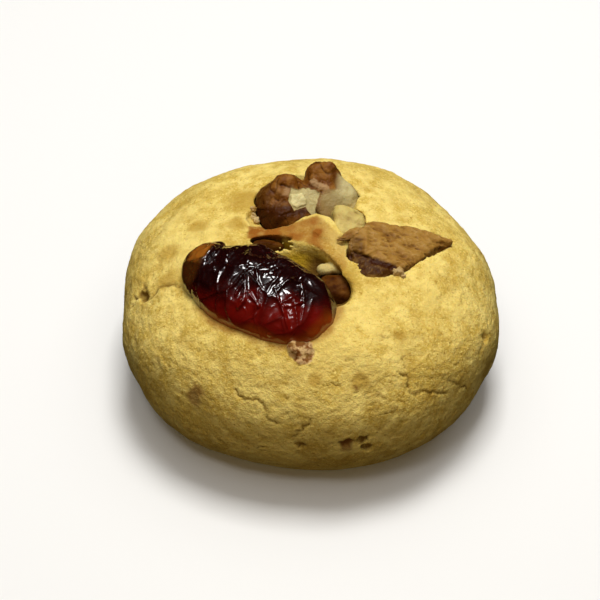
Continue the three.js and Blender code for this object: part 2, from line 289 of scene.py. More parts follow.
def cell_borders(points, millimetres, seed, width):
    """Thin crests, 1 at the border between random cells of about one size, with hollows between them."""
    low, high = points.min(axis=0), points.max(axis=0)
    count = int(np.prod((high - low) / (millimetres * MM)))
    tree = KDTree(count)
    for index, place in enumerate(np.random.default_rng(seed).uniform(low, high, (count, 3))):
        tree.insert(place, index)
    tree.balance()
    near = np.array([[hit[2] for hit in tree.find_n(point, 2)] for point in points]) / MM
    return np.exp((near[:, 0] - near[:, 1]) / (2 * width))


def step(values, low, high):
    """Rises softly from 0 at the low value to 1 at the high one."""
    t = np.clip((values - low) / (high - low), 0, 1)
    return t * t * (3 - 2 * t)


# Places

def spot(x, y, z):
    """A place of the CAD source, in millimetres from the dough's axis, in the frame of the part."""
    return (np.array([x, y, z]) + AXIS) * MM


def bearing(azimuth, elevation):
    """Unit vector by two angles in degrees."""
    a, e = math.radians(azimuth), math.radians(elevation)
    return np.array([math.cos(e) * math.cos(a), math.cos(e) * math.sin(a), math.sin(e)])


def away_from_run(points, start, end):
    """Distance of each point from one straight run."""
    run = end - start
    along = np.clip((points - start) @ run / (run @ run), 0, 1)
    return np.linalg.norm(points - start - along[:, None] * run, axis=1)


def away_from(points, route):
    """Distance in millimetres of each point from a bent line through places of the CAD source."""
    stops = [spot(*place) for place in route]
    nearest = np.linalg.norm(points - stops[0], axis=1)
    for start, end in zip(stops[:-1], stops[1:]):
        nearest = np.minimum(nearest, away_from_run(points, start, end))
    return nearest / MM


def patch(points, route, reach, seed, edge=0.12, tear=0.3):
    """1 within reach of a bent line, with a torn border."""
    torn = away_from(points, route) + tear * reach * noise(points, 0.7 * reach, seed)
    return 1 - step(torn, reach - edge, reach + edge)


def line(points, route, half_width):
    """1 on a bent line, fading over its half width."""
    return np.exp(-(away_from(points, route) / half_width) ** 2)


def fenced(points, normals, outline, edge=0.06):
    """1 inside a closed outline on the side seen from the front and above, given by x and by y + z."""
    local = points / MM - AXIS
    seen = np.stack([local[:, 0], local[:, 1] + local[:, 2]], axis=1)
    corners = np.array(outline)
    inside = np.zeros(len(points), bool)
    nearest = np.full(len(points), np.inf)
    for start, end in zip(corners, np.roll(corners, -1, axis=0)):
        run = end - start
        spans = (start[1] > seen[:, 1]) != (end[1] > seen[:, 1])
        crossing = start[0] + (seen[:, 1] - start[1]) * run[0] / (run[1] or 1e-9)
        inside ^= spans & (seen[:, 0] < crossing)
        nearest = np.minimum(nearest, away_from_run(seen, start, end))
    depth = np.where(inside, nearest, -nearest)
    return step(depth, -edge, edge) * (normals[:, 2] - normals[:, 1] > 0.2)


def laid_on(surface, stops, pitch=0.3, stray=0.0, rng=None):
    """A bent line through stops, in short runs laid on a surface, as places of the CAD source."""
    points = []
    for start, end in zip(stops[:-1], stops[1:]):
        count = max(1, round(np.linalg.norm(end - start) / (pitch * MM)))
        points += [start + (end - start) * i / count for i in range(count)]
    points.append(stops[-1])
    if stray:
        points = [point + rng.normal(0, stray * MM, 3) for point in points]
    return [np.array(surface.find_nearest(Vector(point))[0]) / MM - AXIS for point in points]


def drawn_on(surface, route):
    """A bent line through places of the CAD source, laid on a surface."""
    return laid_on(surface, [spot(*place) for place in route])


def shell_radius(points, at, turn, half):
    """1 on the skin of a turned ellipsoid, less inside it."""
    turned = np.array(Euler([math.radians(angle) for angle in turn]).to_matrix())
    return np.linalg.norm((points - spot(*at)) @ turned / (np.array(half) * MM), axis=1)


def surface_of(piece):
    return BVHTree.FromObject(piece, bpy.context.evaluated_depsgraph_get())


def away_from_node(points, node):
    """Distance in millimetres of each point from a CAD node."""
    surface = surface_of(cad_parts[node])
    return np.array([surface.find_nearest(Vector(p))[3] for p in points]) / MM


# Materials

def add_node(tree, kind, settings=None, links=None):
    """Adds a shader node, sets its own values and its inputs, and links other outputs to it."""
    node = tree.nodes.new(kind)
    for name, value in (settings or {}).items():
        if name in node.inputs:
            node.inputs[name].default_value = value
        else:
            setattr(node, name, value)
    for name, output in (links or {}).items():
        tree.links.new(output, node.inputs[name])
    return node


def blank_material(name):
    material = bpy.data.materials.new(name)
    material.use_nodes = True
    material.node_tree.nodes.clear()
    return material, material.node_tree


def painted(tree, base, *layers):
    """Lays colours over a base, each where an attribute of the piece or a pattern says so."""
    for place, tint in layers:
        if isinstance(place, str):
            place = add_node(tree, "ShaderNodeAttribute", {"attribute_name": place}).outputs["Fac"]
        mix = add_node(tree, "ShaderNodeMix", {"data_type": "RGBA"}, {"Factor": place})
        for socket, value in ((mix.inputs[6], base), (mix.inputs[7], tint)):
            if isinstance(value, bpy.types.NodeSocket):
                tree.links.new(value, socket)
            else:
                socket.default_value = (*value, 1)
        base = mix.outputs[2]
    return base


def speckle(tree, millimetres, low, high, detail=3.0, fineness=0.5):
    """Noise of a real size, from 0 to 1 between two levels; the fineness is the share of its finer grain."""
    place = add_node(tree, "ShaderNodeTexCoord").outputs["Object"]
    grain = add_node(
        tree, "ShaderNodeTexNoise",
        {"Scale": 1 / (millimetres * MM), "Detail": detail, "Roughness": fineness}, {"Vector": place})
    return add_node(
        tree, "ShaderNodeMapRange", {"From Min": low, "From Max": high}, {"Value": grain.outputs["Fac"]}
    ).outputs["Result"]


def close_material(tree, shader, links, height=None, bump_strength=0.3, bump_distance=0.05):
    """Ends a material: shader values, linked inputs and a fine bump."""
    surface = add_node(tree, "ShaderNodeBsdfPrincipled", shader, links)
    if height is not None:
        bump = add_node(
            tree, "ShaderNodeBump", {"Strength": bump_strength, "Distance": bump_distance * MM},
            {"Height": height})
        tree.links.new(bump.outputs["Normal"], surface.inputs["Normal"])
    add_node(tree, "ShaderNodeOutputMaterial", links={"Surface": surface.outputs["BSDF"]})


# Mottling of the crust, lowest layer first: size, the levels between which it sets in, and its colour.
CRUST_MOTTLING = [
    (1.3, 0.38, 0.62, "pale"),
    (5.0, 0.50, 0.66, "golden"),
    (0.22, 0.50, 0.70, "pale"),
    (0.3, 0.58, 0.76, "stain"),
    (2.4, 0.50, 0.95, "stain"),
]


def dough_material(settings):
    """Baked dough: matte, pale yellow grains over gold, brown thin lips, painted shade in hollows, amber of
    juice stain and shade.
    """
    material, tree = blank_material("Baked dough")
    crust = settings.golden
    for size, low, high, tint in CRUST_MOTTLING:
        crust = painted(tree, crust, (speckle(tree, size, low, high), getattr(settings, tint)))
    kernel = painted(tree, settings.fragment, (speckle(tree, 0.6, 0.42, 0.58), settings.chip))
    paint = painted(
        tree, crust, ("flake", settings.pale), ("stain", settings.stain), ("moist", settings.moist),
        ("deep", settings.deep), ("crevice", settings.crevice), ("toast", settings.toasted),
        ("amber", settings.amber), ("fragment", settings.fragment), ("chip", kernel),
        ("tooth", settings.tooth))
    close_material(
        tree,
        {"Roughness": 0.8, "Specular IOR Level": 0.25, "Subsurface Weight": 0.12,
         "Subsurface Radius": (1.0, 0.6, 0.2), "Subsurface Scale": 0.5 * MM},
        {"Base Color": paint},
        speckle(tree, 0.7, 0.25, 0.75, 4.0, 0.72), 0.75, 0.2)
    return material


def fruit_material(settings):
    """Dried cranberry: wet gloss over wrinkles, black maroon skin, and a painted red to orange glow where
    light comes through.
    """
    material, tree = blank_material("Dried cranberry")
    paint = painted(
        tree, settings.skin, ("thin", settings.flesh), ("rim", settings.edge), ("ear", settings.ear))
    close_material(
        tree,
        {"Roughness": 0.22, "Specular IOR Level": 0.5, "Subsurface Weight": 0.2,
         "Subsurface Radius": (1.0, 0.12, 0.05), "Subsurface Scale": 1.0 * MM, "Coat Weight": 0.9,
         "Coat Roughness": 0.06},
        {"Base Color": paint},
        speckle(tree, 0.25, 0.3, 0.7), 0.1, 0.03)
    return material


def nut_material(settings, name, shine):
    """Walnut: satin brown skin, painted shade in creases and where it turns away, pinkish where torn, pale or
    grey broken flesh.
    """
    material, tree = blank_material(name)
    skin = painted(tree, settings.skin, (speckle(tree, 0.9, 0.38, 0.64), settings.light))
    pulp = painted(tree, settings.flesh, (speckle(tree, 1.6, 0.45, 0.85), settings.waxy))
    paint = painted(
        tree, skin, ("dry", settings.dry), ("shade", settings.dark), ("crevice", settings.dark),
        ("blush", settings.blush), ("waxy", settings.waxy), ("flesh", pulp), ("kernel", settings.kernel))
    close_material(
        tree,
        {"Roughness": 0.38, "Specular IOR Level": shine, "Subsurface Weight": 0.1,
         "Subsurface Radius": (1.0, 0.5, 0.2), "Subsurface Scale": 0.5 * MM},
        {"Base Color": paint},
        speckle(tree, 0.2, 0.3, 0.7), 0.5, 0.07)
    return material


# Dough

WAIST_HEIGHT = 7.4
COOKIE_RADIUS = 19.0
DOME_RISE = 10.3
DOME_POWER = 2.42
FLANK_DROP = 11.7
DOUGH_SMOOTHING = 4

# Triangles this near the table are joined, until this share of all is left.
TABLE_REACH = 4
TRIANGLES_KEPT = 0.69

# Relief begins above the flat foot, and fades out close to the fruit.
FOOT_EDGE = (0.2 * MM, 1.5 * MM)
FRUIT_CLEARANCE = (0.5, 1.6)

# Cracks of the crust: half the width in millimetres, and places by azimuth and climb in degrees.
CRACKS = [
    (0.20, [(-169, 25), (-165, 32), (-163, 37), (-164, 40), (-163, 44), (-158, 49)]),
    (0.15, [(-114, 26), (-112, 24), (-109, 23), (-106, 24), (-104, 22), (-103, 18), (-101, 15), (-99, 12)]),
    (0.15, [(-59, 31), (-57, 28), (-57, 25), (-58, 20), (-57, 18), (-54, 18), (-51, 15), (-46, 10)]),
    (0.13, [(-44, 15), (-42, 12), (-40, 7), (-38, 4)]),
    (0.12, [(-90, 16), (-91, 12), (-93, 8), (-94, 5)]),
    (0.10, [(-77, 27), (-75, 28), (-70, 26)]),
    (0.10, [(-76, 45), (-74, 44), (-73, 41)]),
    (0.08, [(-61, 49), (-57, 47)]),
    (0.10, [(-57, 37), (-56, 35), (-57, 33)]),
    (0.09, [(-87, 34), (-83, 34), (-80, 33)]),
    (0.09, [(-80, 25), (-79, 24), (-77, 25)]),
    (0.09, [(-69, 15), (-66, 14), (-64, 13)]),
    (0.10, [(-106, -5), (-104, -2)]),
    (0.14, [(24, 30), (30, 27), (34, 21)]),
    (0.15, [(68, 14), (75, 17), (82, 13), (87, 15)]),
    (0.12, [(131, 22), (128, 14), (124, 11)]),
]
CRACK_PITCH = 0.35
CRACK_STRAY = 0.15
CRACK_DEPTH = 1.3
CRACK_NARROWING = 0.7
CRACK_SEED = 7

# Patches of darker crust, the last being painted shade in a well, and ground nut in the crust: place and
# radius.
STAINS = [
    ((-10.9, 2.8, 16.4), 1.0), ((-7.2, 2.5, 17.2), 0.9), ((-13.9, -0.1, 15.3), 1.1),
    ((-13.9, -3.7, 15.1), 1.0), ((4.8, -15.7, 13.6), 0.8), ((0.6, -15.7, 13.9), 0.7),
    ((8.5, -11.3, 15.3), 0.6), ((-5.9, 6.0, 17.2), 2.1),
]
FRAGMENTS = [
    ((-10.9, -14.8, 10.7), 1.0), ((3.6, -18.4, 8.0), 0.75), ((4.4, -16.2, 13.2), 0.3),
    ((-11.5, -14.9, 6.3), 0.3),
]
SPOT_STRENGTH = 0.7

# The fold of dough between the wells: crest, peak, front edge, outline by x and y + z, and a pit painted
# dark.
FOLD_CREST = [
    (-6.2, 1.3, 17.4), (-4.4, 1.2, 17.6), (-2.2, 1.1, 17.8), (-0.4, 1.4, 18.2), (0.7, 1.6, 18.6),
    (2.0, 0.3, 18.5), (3.2, -1.5, 18.1)]
FOLD_PEAK = [(0.8, 1.5, 18.6)]
FOLD_EDGE = [(-2.0, 0.0, 17.6), (-1.0, -0.6, 17.6), (0.2, -1.2, 17.6), (1.2, -1.8, 17.5)]
FOLD_OUTLINE = [
    (-6.0, 19.0), (-4.4, 19.2), (-2.5, 19.1), (-0.9, 19.8), (0.9, 20.6), (2.0, 19.6), (2.8, 18.0),
    (3.5, 16.2), (3.8, 13.6), (3.2, 12.6), (2.3, 14.1), (1.2, 15.8), (0.4, 16.4), (-1.1, 16.9),
    (-2.5, 17.2), (-5.9, 17.3)]
FOLD_PIT = [(0.93, 0.16, 17.9)]

# Dough that sags: the fold and the rim behind the fruit, as a route, its half width and the depth.
FRUIT_RIM = [(-6.1, -1.7, 17.5), (-4.7, -1.7, 17.0), (-3.3, -2.0, 16.9)]
SAGS = [(FOLD_CREST, 1.0, 0.3), (FOLD_PEAK, 1.4, 0.4), (FRUIT_RIM, 0.8, 0.5)]

# Rims that are rounded off: the hollow's, and the end of the slot under the fold, which is filled a little.
HOLLOW_RIM = [*FOLD_EDGE, (2.3, -3.2, 17.4), (3.1, -4.5, 17.2), (3.9, -6.6, 16.9), (3.3, -8.4, 16.6)]
HOLLOW_RIM_REACH = 1.2
SLOT_END = [(-2.0, -0.5, 16.9)]
SLOT_END_REACH = 1.3
SLOT_FILLING = 0.2
RIM_ROUNDS = 25
WELL_REACH = 11

# Holes where a crumb came away: azimuth and climb in degrees, and radius.
HOLES = [(-79, 2, 0.5), (-75, 2, 0.5), (-73, -1, 0.45), (-93, 1, 0.35), (-166, 31, 0.6)]
HOLE_DEPTH = 0.35

# Chips of kernel fused to the dough: middle, turn in degrees and half sizes, and the share of these that each
# reaches as it runs into the dough. Rims are not rounded off within the margin of the front one.
FRONT_CHIP = ((-0.68, -13.17, 15.46), (26, 8, 20), (1.15, 1.3, 0.42))
FRONT_CHIP_REACH = 1.25
HOLLOW_CHIP = ((2.2, -3.3, 16.3), (0, -6, 6), (1.5, 0.6, 0.5))
HOLLOW_CHIP_REACH = 1.3
CHIP_MARGIN = 1.6
CHIP_ROUGHNESS = 0.3


def on_crust(azimuth, climb):
    """A place on the crust, in the frame of the part."""
    rise = math.sin(math.radians(climb))
    inward = math.cos(math.radians(climb))
    if rise < 0:
        return spot(*(COOKIE_RADIUS * inward * bearing(azimuth, 0)[:2]), WAIST_HEIGHT + rise * FLANK_DROP)
    flat = COOKIE_RADIUS * inward ** (2 / DOME_POWER) * bearing(azimuth, 0)[:2]
    return spot(*flat, WAIST_HEIGHT + DOME_RISE * rise ** (2 / DOME_POWER))


def below_dome(points):
    """Depth in millimetres under the dome as it was before the toppings were pressed in."""
    flat = np.linalg.norm(points[:, :2] / MM - AXIS[:2], axis=1) / COOKIE_RADIUS
    dome = WAIST_HEIGHT + DOME_RISE * np.clip(1 - flat ** DOME_POWER, 0, 1) ** (1 / DOME_POWER)
    return dome - points[:, 2] / MM


def shaped_dough(settings):
    """The dough with rounded rims and a sagged fold, and which corners belong to each chip of kernel."""
    piece = copy_of("dough", "Dough", settings.voxel, DOUGH_SMOOTHING)
    thin_out(piece, TABLE_REACH * MM, TRIANGLES_KEPT)
    points = read(piece)
    front_radius = shell_radius(points, *FRONT_CHIP)
    front_chip = front_radius < FRONT_CHIP_REACH
    hollow_chip = shell_radius(points, *HOLLOW_CHIP) < HOLLOW_CHIP_REACH
    hollow_rim = away_from(points, HOLLOW_RIM) < HOLLOW_RIM_REACH
    slot_end = away_from(points, SLOT_END) < SLOT_END_REACH
    soften(piece, (hollow_rim | slot_end) & ~((front_radius < CHIP_MARGIN) | hollow_chip), RIM_ROUNDS)
    sag = sum(depth * line(points, route, half_width) for route, half_width, depth in SAGS)
    points = read(piece)
    points[:, 2] -= sag * MM
    move(piece, points)
    return piece, front_chip, hollow_chip


def cracks_in(points, surface):
    """How far each corner lies in a crack, from 0 to 1, and how deep it sinks there in millimetres."""
    rng = np.random.default_rng(CRACK_SEED)
    crack = np.zeros(len(points))
    sunk = np.zeros(len(points))
    for half_width, places in CRACKS:
        route = laid_on(surface, [on_crust(*place) for place in places], CRACK_PITCH, CRACK_STRAY, rng)
        groove = line(points, route, CRACK_NARROWING * half_width) * (0.8 + 0.3 * noise(points, 1.1, 18))
        crack = np.maximum(crack, groove)
        sunk = np.maximum(sunk, CRACK_DEPTH * half_width * groove)
    return crack, sunk


def crumb_relief(points, settings):
    """Height of the lumps, grains, flakes and pores, and the noise that the larger flakes follow."""
    pores = step(noise(points, 0.55, 5), 0.6, 0.9)
    lumps = noise(points, 3.2, 1) + 0.5 * noise(points, 1.4, 2)
    torn = bent(points, 0.7, 0.3, 11)
    scaly = noise(torn, 1.9, 14)
    flakes = step(scaly, 0, 0.07) + step(noise(torn, 1.3, 15), 0.1, 0.2)
    grains = 0.45 * ridges(bent(points, 0.9, 0.3, 16), 0.75, 3) + 1.1 * noise(points, 0.4, 4)
    relief = (settings.lump_depth * lumps + settings.grain_depth * grains + settings.flake_depth * flakes
              - settings.pore_depth * pores)
    return relief, scaly


def damp_crumb(points, local, holes):
    """Painted shade: yellow green in the front wells, and dark brown at their bottom, in the slot and in
    holes.
    """
    depth = below_dome(points)
    inward = np.linalg.norm(points[:, :2], axis=1) < WELL_REACH * MM
    moist = step(depth, 0.5, 1.4) * inward * step(-local[:, 1], -1.5, -0.5)
    slot = step(depth, 0.25, 0.7) * step(-local[:, 0], 2.2, 2.8) * (np.abs(local[:, 1]) < 1.3) * inward
    deep = np.maximum(0.95 * moist * step(local[:, 0] + 0.5 * noise(points, 1.5, 10), -0.8, 1.0), slot)
    for place, radius in holes:
        deep = np.maximum(deep, 0.9 * patch(points, place, radius, 12, edge=0.15, tear=0.6))
    return moist, deep


def toasted_lip(points, local, normals):
    """Browning of the fold, strongest at its left end, and a pit painted dark."""
    lip = fenced(bent(points, 0.7, 0.15, 17), normals, FOLD_OUTLINE, edge=0.15)
    fading = 1.1 - 0.2 * step(local[:, 0], -4.0, -1.0) - 0.45 * step(local[:, 0], 0.3, 2.4)
    toast = lip * fading * (0.9 + 0.2 * noise(points, 0.7, 19))
    return toast + 0.9 * line(points, FOLD_PIT, 0.4)


def spots(points, places, seed, softness, tear):
    """Soft round spots; the softness is the share of its radius over which a spot fades."""
    layer = np.zeros(len(points))
    for place, radius in places:
        spotted = patch(points, [place], radius, seed, edge=softness * radius, tear=tear)
        layer = np.maximum(layer, SPOT_STRENGTH * spotted)
    return layer


def build_dough(settings):
    piece, front_chip, hollow_chip = shaped_dough(settings)
    surface = surface_of(piece)
    holes = [(laid_on(surface, [on_crust(azimuth, climb)]), radius) for azimuth, climb, radius in HOLES]
    points = read(piece)
    crack, sunk = cracks_in(points, surface)
    for place, radius in holes:
        sunk = np.maximum(sunk, HOLE_DEPTH * patch(points, place, radius, 12, edge=0.2, tear=0.6))
    relief, scaly = crumb_relief(points, settings)
    lifted = step(points[:, 2], *FOOT_EDGE)
    calm = step(away_from_node(points, "cranberry"), *FRUIT_CLEARANCE)
    flaw = front_chip * noise(points, 0.6, 6) + hollow_chip * noise(points, 0.9, 7)
    filling = SLOT_FILLING * line(points, SLOT_END, 0.8)
    push(piece, lifted * calm * relief + MM * (filling + CHIP_ROUGHNESS * flaw - sunk))

    points = read(piece)
    local = points / MM - AXIS
    moist, deep = damp_crumb(points, local, holes)
    # Painted shade on the dough round the sunk kernel.
    damp = 1 - step(away_from_node(points, "kernel_sunk"), 0.4, 1.8)
    # Amber along the fruit's front edge, partly juice stain and partly painted shade.
    wet = away_from_node(points, "cranberry") + 0.3 * noise(points, 0.8, 20)
    juicy = (1 - step(wet, 0.5, 1.5)) * step(-local[:, 1], 7, 9)
    note(
        piece, moist=moist, deep=deep, amber=0.75 * juicy,
        stain=np.maximum(spots(points, STAINS, 8, 0.5, 0.3), 0.9 * damp),
        fragment=spots(points, FRAGMENTS, 9, 0.4, 0.6),
        toast=toasted_lip(points, local, read(piece, "normal")),
        flake=0.5 * step(scaly, 0, 0.1) * step(noise(points, 6.0, 12), -0.3, 0.4),
        crevice=0.75 * crack + 0.4 * step(hollowness(piece, 8) / MM, 0.02, 0.10),
        chip=front_chip * (0.9 + 0.3 * noise(points, 0.5, 13)),
        tooth=hollow_chip * (1 - 0.6 * step(local[:, 0], 2.2, 3.4)))
    finished(piece, dough_material(settings), "dough", "dough")


class COOKIE_OT_dough(bpy.types.Operator):
    """Build the baked dough with its crumb, cracks and toasted fold"""
    bl_idname = "cookie.dough"
    bl_label = "Dough"

    def execute(self, context):
        build_dough(context.scene.cookie_dough)
        return {"FINISHED"}


# Cranberry

FRUIT_MIDDLE = (-4.3, -7.1, 15.9)
FRUIT_TURN = -28
FRUIT_HALF_LENGTH = 7.0
FRUIT_HALF_WIDTH = 4.0
FRUIT_RISE = 3.45
FRUIT_SMOOTHING = 12

# Heights above the dome between which the fruit comes free of the dough.
FREE_HEIGHTS = (0.6, 1.9)

# Dry brown part of the ear, an outline by x and y + z.
EAR_TOP = [(-11.3, 14.7), (-11.0, 16.6), (-9.3, 16.6), (-9.5, 14.6), (-10.4, 14.1)]

# Thin ridges of shrunken skin.
RIDGE_HALF_WIDTH = 0.17
FRUIT_RIDGES = [
    [(-5.91, -7.05, 19.68), (-5.97, -8.96, 19.03), (-6.05, -9.9, 18.64), (-6.71, -10.28, 17.96)],
    [(-5.43, -7.25, 19.73), (-4.36, -9.22, 19.29)],
    [(-5.68, -9.26, 19.06), (-4.73, -10.58, 18.26)],
    [(-3.15, -8.97, 19.31), (-2.76, -10.14, 18.88), (-1.73, -12.12, 17.02)],
    [(-3.61, -12.11, 16.34), (-1.73, -12.12, 17.02), (-0.89, -11.85, 17.29)],
    [(-3.14, -9.19, 19.26), (-1.74, -7.89, 19.44), (-0.61, -8.11, 18.99), (-0.52, -8.76, 18.84),
     (-0.61, -10.17, 18.52), (-2.2, -10.6, 18.54)],
    [(-4.2, -7.33, 19.69), (-2.42, -6.48, 19.52)],
    [(-6.49, -6.5, 19.67), (-5.55, -5.96, 19.81)],
    [(-6.91, -9.23, 18.64), (-6.1, -8.2, 19.3)],
]

# The side toward the fold, which stands out a little more than the rest.
FRUIT_BACK = [(-4.8, -2.9, 18.0), (-3.6, -2.9, 17.4), (-2.6, -3.2, 16.9)]
FRUIT_BACK_REACH = 1.1
FRUIT_BACK_RISE = 0.4


def fruit_wrinkles(points, surface, free, settings):
    """Height of the ridges and folds of the skin, lower where it meets the dough, and its coarse net."""
    lengthwise = bearing(FRUIT_TURN, 0)
    shaky = bent(points, 1.2, 0.18, 31)
    drawn = np.zeros(len(points))
    for route in FRUIT_RIDGES:
        drawn = np.maximum(drawn, line(shaky, drawn_on(surface, route), RIDGE_HALF_WIDTH))
    meander = bent(points, 2.2, 0.5, 21)
    squeezed = meander + 0.5 * np.outer(meander @ lengthwise, lengthwise)
    net = cell_borders(squeezed, 2.5, 22, 0.16)
    small = cell_borders(bent(points, 0.9, 0.25, 23), 0.95, 25, 0.12)
    raised = settings.ridge_height * np.maximum(drawn, 0.75 * net) + settings.wrinkle_height * small
    sunken = settings.fold_depth * (ridges(meander, 3.0, 24) - 0.6)
    return (0.25 + 0.75 * free) * raised + (0.1 + 0.9 * free) * sunken, net


def build_cranberry(settings):
    piece = copy_of("cranberry", "Cranberry", settings.voxel, FRUIT_SMOOTHING)
    points = read(piece)
    surface = surface_of(piece)
    free = step(-below_dome(points), *FREE_HEIGHTS)
    wrinkles, net = fruit_wrinkles(points, surface, free, settings)
    back = line(points, drawn_on(surface, FRUIT_BACK), FRUIT_BACK_REACH)
    push(piece, settings.swell + settings.seat * (1 - free) + wrinkles + FRUIT_BACK_RISE * MM * back)

    points = read(piece)
    local = points - spot(*FRUIT_MIDDLE)
    along = local @ bearing(FRUIT_TURN, 0) / (FRUIT_HALF_LENGTH * MM)
    front = -local @ bearing(FRUIT_TURN + 90, 0) / (FRUIT_HALF_WIDTH * MM)
    height = local[:, 2] / (FRUIT_RISE * MM)
    # Painted glow: red where light would come through the lower front and right end, less on the crests of
    # the net, amber at the rim by the dough.
    glow = 0.9 * front + 0.6 * along - 0.35 * height + 0.4 * noise(points, 1.4, 27)
    above = -below_dome(points) + 0.35 * noise(points, 1.3, 28)
    lower = step(front + along, 0.2, 0.6) * step(front + 0.4 * along, 0.2, 0.5)
    end = step(-along, 0.87, 0.96)
    dry = fenced(bent(points, 0.7, 0.5, 29), read(piece, "normal"), EAR_TOP, edge=0.5)
    note(
        piece, thin=step(glow, -0.1, 0.95) * (1 - 0.4 * net), rim=0.65 * (1 - step(above, 0.2, 1.3)) * lower,
        ear=end * (0.12 + 0.75 * dry))
    finished(piece, fruit_material(settings), "cranberry", "cranberry")


class COOKIE_OT_cranberry(bpy.types.Operator):
    """Build the wrinkled dried cranberry"""
    bl_idname = "cookie.cranberry"
    bl_label = "Cranberry"

    def execute(self, context):
        build_cranberry(context.scene.cookie_fruit)
        return {"FINISHED"}


# Walnut pieces

# Knobs of the lobed piece: place, radius and height.
LOBED_KNOBS = [
    ((-2.7, 6.8, 19.3), 0.7, 0.14), ((-1.5, 6.7, 19.2), 0.6, 0.10), ((-4.2, 5.5, 18.2), 0.7, 0.24),
    ((-3.0, 5.5, 18.8), 0.5, 0.16), ((0.5, 8.0, 19.4), 0.6, 0.10), ((2.3, 8.6, 19.4), 0.6, 0.16),
    ((-2.9, 3.3, 17.1), 1.3, 0.35), ((-0.9, 3.5, 17.0), 1.0, 0.2),
]
LOBED_CREASES = [
    [(-3.4, 6.0, 18.9), (-2.5, 6.0, 19.0), (-2.0, 5.9, 18.8), (-1.0, 6.3, 18.6), (0.3, 6.4, 18.6),
     (0.8, 6.2, 18.3), (1.4, 6.0, 18.0)],
    [(-3.3, 2.8, 16.6), (-2.7, 3.2, 17.3), (-1.75, 3.6, 17.35), (-0.4, 4.2, 17.4)],
    [(-4.3, 4.6, 17.7), (-3.6, 4.9, 18.1), (-3.0, 4.6, 18.1)],
]
LOBED_SADDLE = [(0.46, 6.79, 18.73), (1.0, 6.5, 18.5), (1.76, 6.36, 18.19)]
NUT_SMOOTHING = 5

# Heights between which the lobed piece comes out of its well.
LOBED_CROWN = (17 * MM, 18.5 * MM)

# Outlines on the lobed piece, by x and y + z: the broken patch, its facet painted brighter as a highlight,
# the grey side in painted shade, a curl of torn skin and the bulge low in front, where less shade is painted.
LOBED_BREAK = [
    (-1.76, 24.7), (0.15, 24.7), (1.19, 23.9), (0.77, 22.3), (0.76, 20.9), (0.37, 20.4), (-0.23, 21.9),
    (-0.69, 21.4), (-1.44, 21.2), (-1.9, 22.1), (-2.06, 22.7), (-1.75, 23.6)]
LOBED_FACET = [(-1.6, 23.4), (-0.69, 24.0), (-0.23, 23.2), (-0.31, 22.2), (-1.06, 21.4), (-1.75, 22.2)]
LOBED_SIDE = [
    (3.1, 26.6), (3.8, 26.6), (5.0, 24.0), (5.2, 21.5), (2.9, 19.0), (0.7, 19.5), (0.9, 21.2), (1.0, 22.8),
    (1.3, 23.6), (1.95, 24.1), (3.1, 24.6), (2.9, 25.7)]
LOBED_CURL = [(-3.1, 24.4), (-1.6, 25.0), (-1.1, 23.9), (-1.8, 23.1), (-3.2, 23.5)]
LOBED_BULGE = [
    (-2.9, 19.3), (-2.2, 20.2), (-1.0, 20.6), (0.1, 21.0), (0.3, 20.3), (-0.6, 19.3), (-1.8, 18.9)]

# The right corner of the lobed piece is rounded off in several passes.
LOBED_CORNER = [(5.0, 6.0, 17.6)]
CORNER_REACH = 1.5
CORNER_PASSES = 3
CORNER_ROUNDS = 30

# Lines of the wedge: the dark crease, the upright ridge and long streaks.
WEDGE_CREASE = [(3.9, -2.5, 17.9), (4.4, -2.7, 17.96), (5.2, -2.95, 17.87), (5.94, -3.25, 17.58)]
WEDGE_RIDGE = [(5.46, 0.2, 18.2), (5.55, -1.1, 18.26), (5.48, -2.2, 18.2), (5.4, -2.8, 18.0)]
WEDGE_RIDGE_X = 5.5
WEDGE_STREAKS = [
    [(7.1, 0.37, 17.87), (7.5, 0.16, 17.74), (7.84, 0.0, 17.63)],
    [(8.0, -0.54, 17.54), (9.0, -0.72, 17.28), (9.9, -0.84, 16.96), (10.4, -0.9, 16.8)],
    [(6.4, -3.2, 17.55), (7.9, -3.5, 17.26), (9.0, -3.6, 17.04)],
    [(7.5, -2.32, 17.61), (8.66, -2.74, 17.26), (9.86, -2.13, 16.89)],
]
WEDGE_HEADING = -6
WEDGE_SMOOTHING = 3

# The lower facet of the wedge, which is drawn out toward the front and painted in shade, and its outline by x
# and y + z.
FACET_REACH = 1.4
FACET_ROUNDS = 6
WEDGE_LOWER = [(3.5, 15.5), (4.5, 15.1), (6.1, 14.5), (8.4, 13.6), (8.8, 12.0), (4.5, 11.8), (3.5, 13.0)]

# The right tip of the wedge narrows by this share toward one line.
TIP_Y = 1.0
TIP_NARROWING = 0.7

# The splinter at the left end of the wedge: the line through it, the share of that line that is free, and the
# reach round it.
SPLINTER_TIP = (2.6, -1.15, 18.2)
SPLINTER_ROOT = (5.2, 0.3, 17.9)
SPLINTER_FREE = 0.62
SPLINTER_REACH = 0.8

# Small kernels: node, piece, slot, seed, darkness of skin and painted shade, and the share of the swell that
# each takes.
SMALL_NUTS = [
    ("walnut_sliver", "Sliver_walnut", "walnut", 80, 0.8, 0.0),
    ("kernel_sunk", "Sunk_kernel", "walnut", 84, 0.7, 0.0),
    ("kernel_pale", "Pale_kernel", "walnut_flesh", 88, 0.0, 1.0),
]
SLIVER_GRAIN = np.array([0.2, 1.0, 1.0])
PALE_SPECK = [(4.7, 3.0, 18.05), (5.2, 3.05, 17.95)]

# Crumbs of nut that lie on the crust: place and radius.
CRUMBS = [
    ((8.3, -4.35, 16.95), 0.34), ((8.75, -4.3, 16.85), 0.42), ((9.1, -4.65, 16.7), 0.26),
    ((-5.5, 4.6, 17.0), 0.36), ((-5.5, 4.1, 16.6), 0.3), ((-5.2, 3.7, 16.3), 0.34),
]

